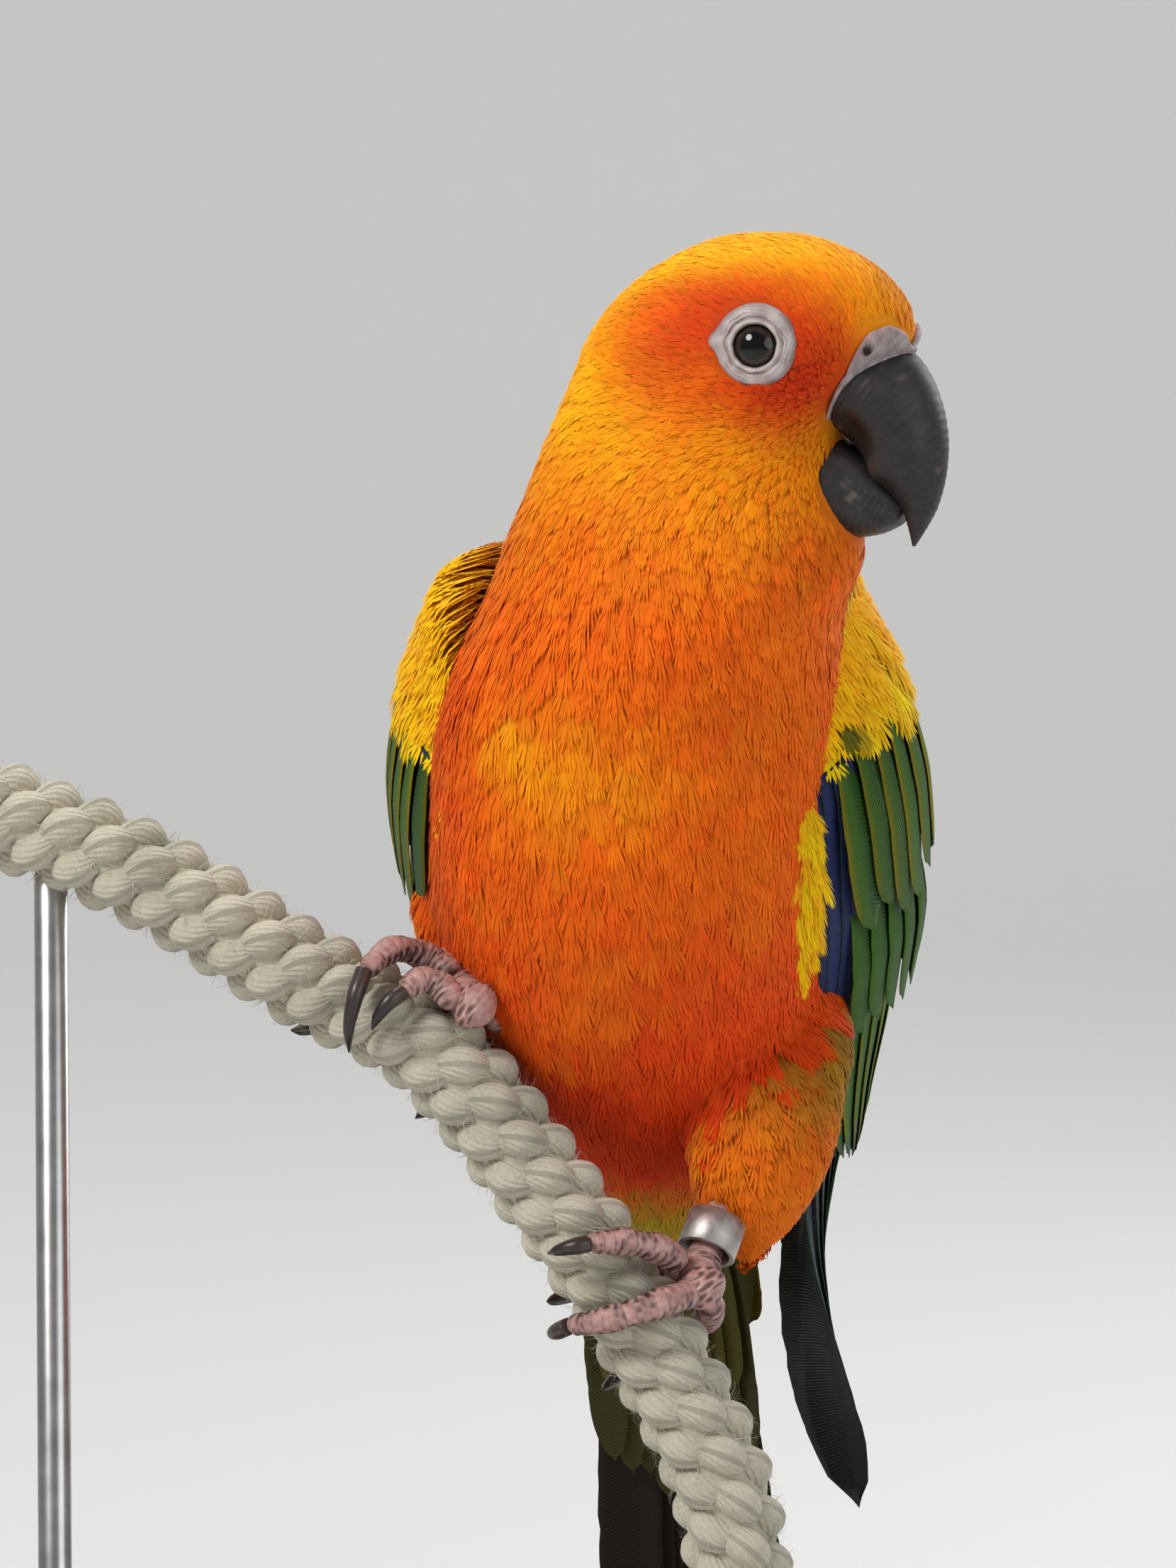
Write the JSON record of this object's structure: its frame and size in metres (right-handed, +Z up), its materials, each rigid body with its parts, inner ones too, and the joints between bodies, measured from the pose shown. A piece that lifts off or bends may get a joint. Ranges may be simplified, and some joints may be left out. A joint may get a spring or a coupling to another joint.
{
  "type": "sun conure",
  "caption": "Life-size sun conure in orange, gold and green plumage, gripping a cut length of braided cotton rope on a plain round display stand.",
  "frame": {"origin": "centre of the stand base's underside, at the bottom of the whole object", "axes": "+Z up, -Y the way the breast faces, +X the bird's left; the head is turned towards +X"},
  "size_m": [0.16, 0.16, 0.2519],
  "materials": {
    "orange_plumage": "soft layered feathers, orange to deep red-orange",
    "golden_plumage": "soft short feathers, golden yellow to orange",
    "wing_plumage": "stiff vanes, yellow, green and dark blue tiers",
    "tail_plumage": "stiff vanes, dark olive with blue-black tips",
    "horn": "charcoal horn with dull sheen",
    "bare_skin": "pale grey-pink bare skin",
    "foot_skin": "pinkish grey scaled skin with dark scales",
    "claw_horn": "dark grey-brown horn",
    "eye_gloss": "glossy dark brown eye",
    "ring_metal": "dull metal band",
    "rod_metal": "brushed rod",
    "cotton": "fuzzy cream cotton strands",
    "base_wood": "dark stained wood, satin"
  },
  "bodies": {
    "root": {"torso": "orange_plumage", "neck": "orange_plumage", "head": "golden_plumage", "eye_left": "eye_gloss", "eye_right": "eye_gloss", "eye_ring_left": "bare_skin", "eye_ring_right": "bare_skin", "beak_upper": "horn", "cere": "bare_skin", "beak_lower": "horn", "thigh_left": "golden_plumage", "thigh_right": "golden_plumage", "foot_left": "foot_skin", "foot_right": "foot_skin", "leg_ring": "ring_metal", "wing_left": "wing_plumage", "wing_right": "wing_plumage", "tail": "tail_plumage", "perch_rope": "cotton", "stand_base": "base_wood", "stand_rod_left": "rod_metal", "stand_rod_right": "rod_metal", "toe_left_1": "foot_skin", "claw_left_1": "claw_horn", "toe_left_2": "foot_skin", "claw_left_2": "claw_horn", "toe_left_3": "foot_skin", "claw_left_3": "claw_horn", "toe_left_4": "foot_skin", "claw_left_4": "claw_horn", "toe_right_1": "foot_skin", "claw_right_1": "claw_horn", "toe_right_2": "foot_skin", "claw_right_2": "claw_horn", "toe_right_3": "foot_skin", "claw_right_3": "claw_horn", "toe_right_4": "foot_skin", "claw_right_4": "claw_horn"}
  },
  "joints": []
}
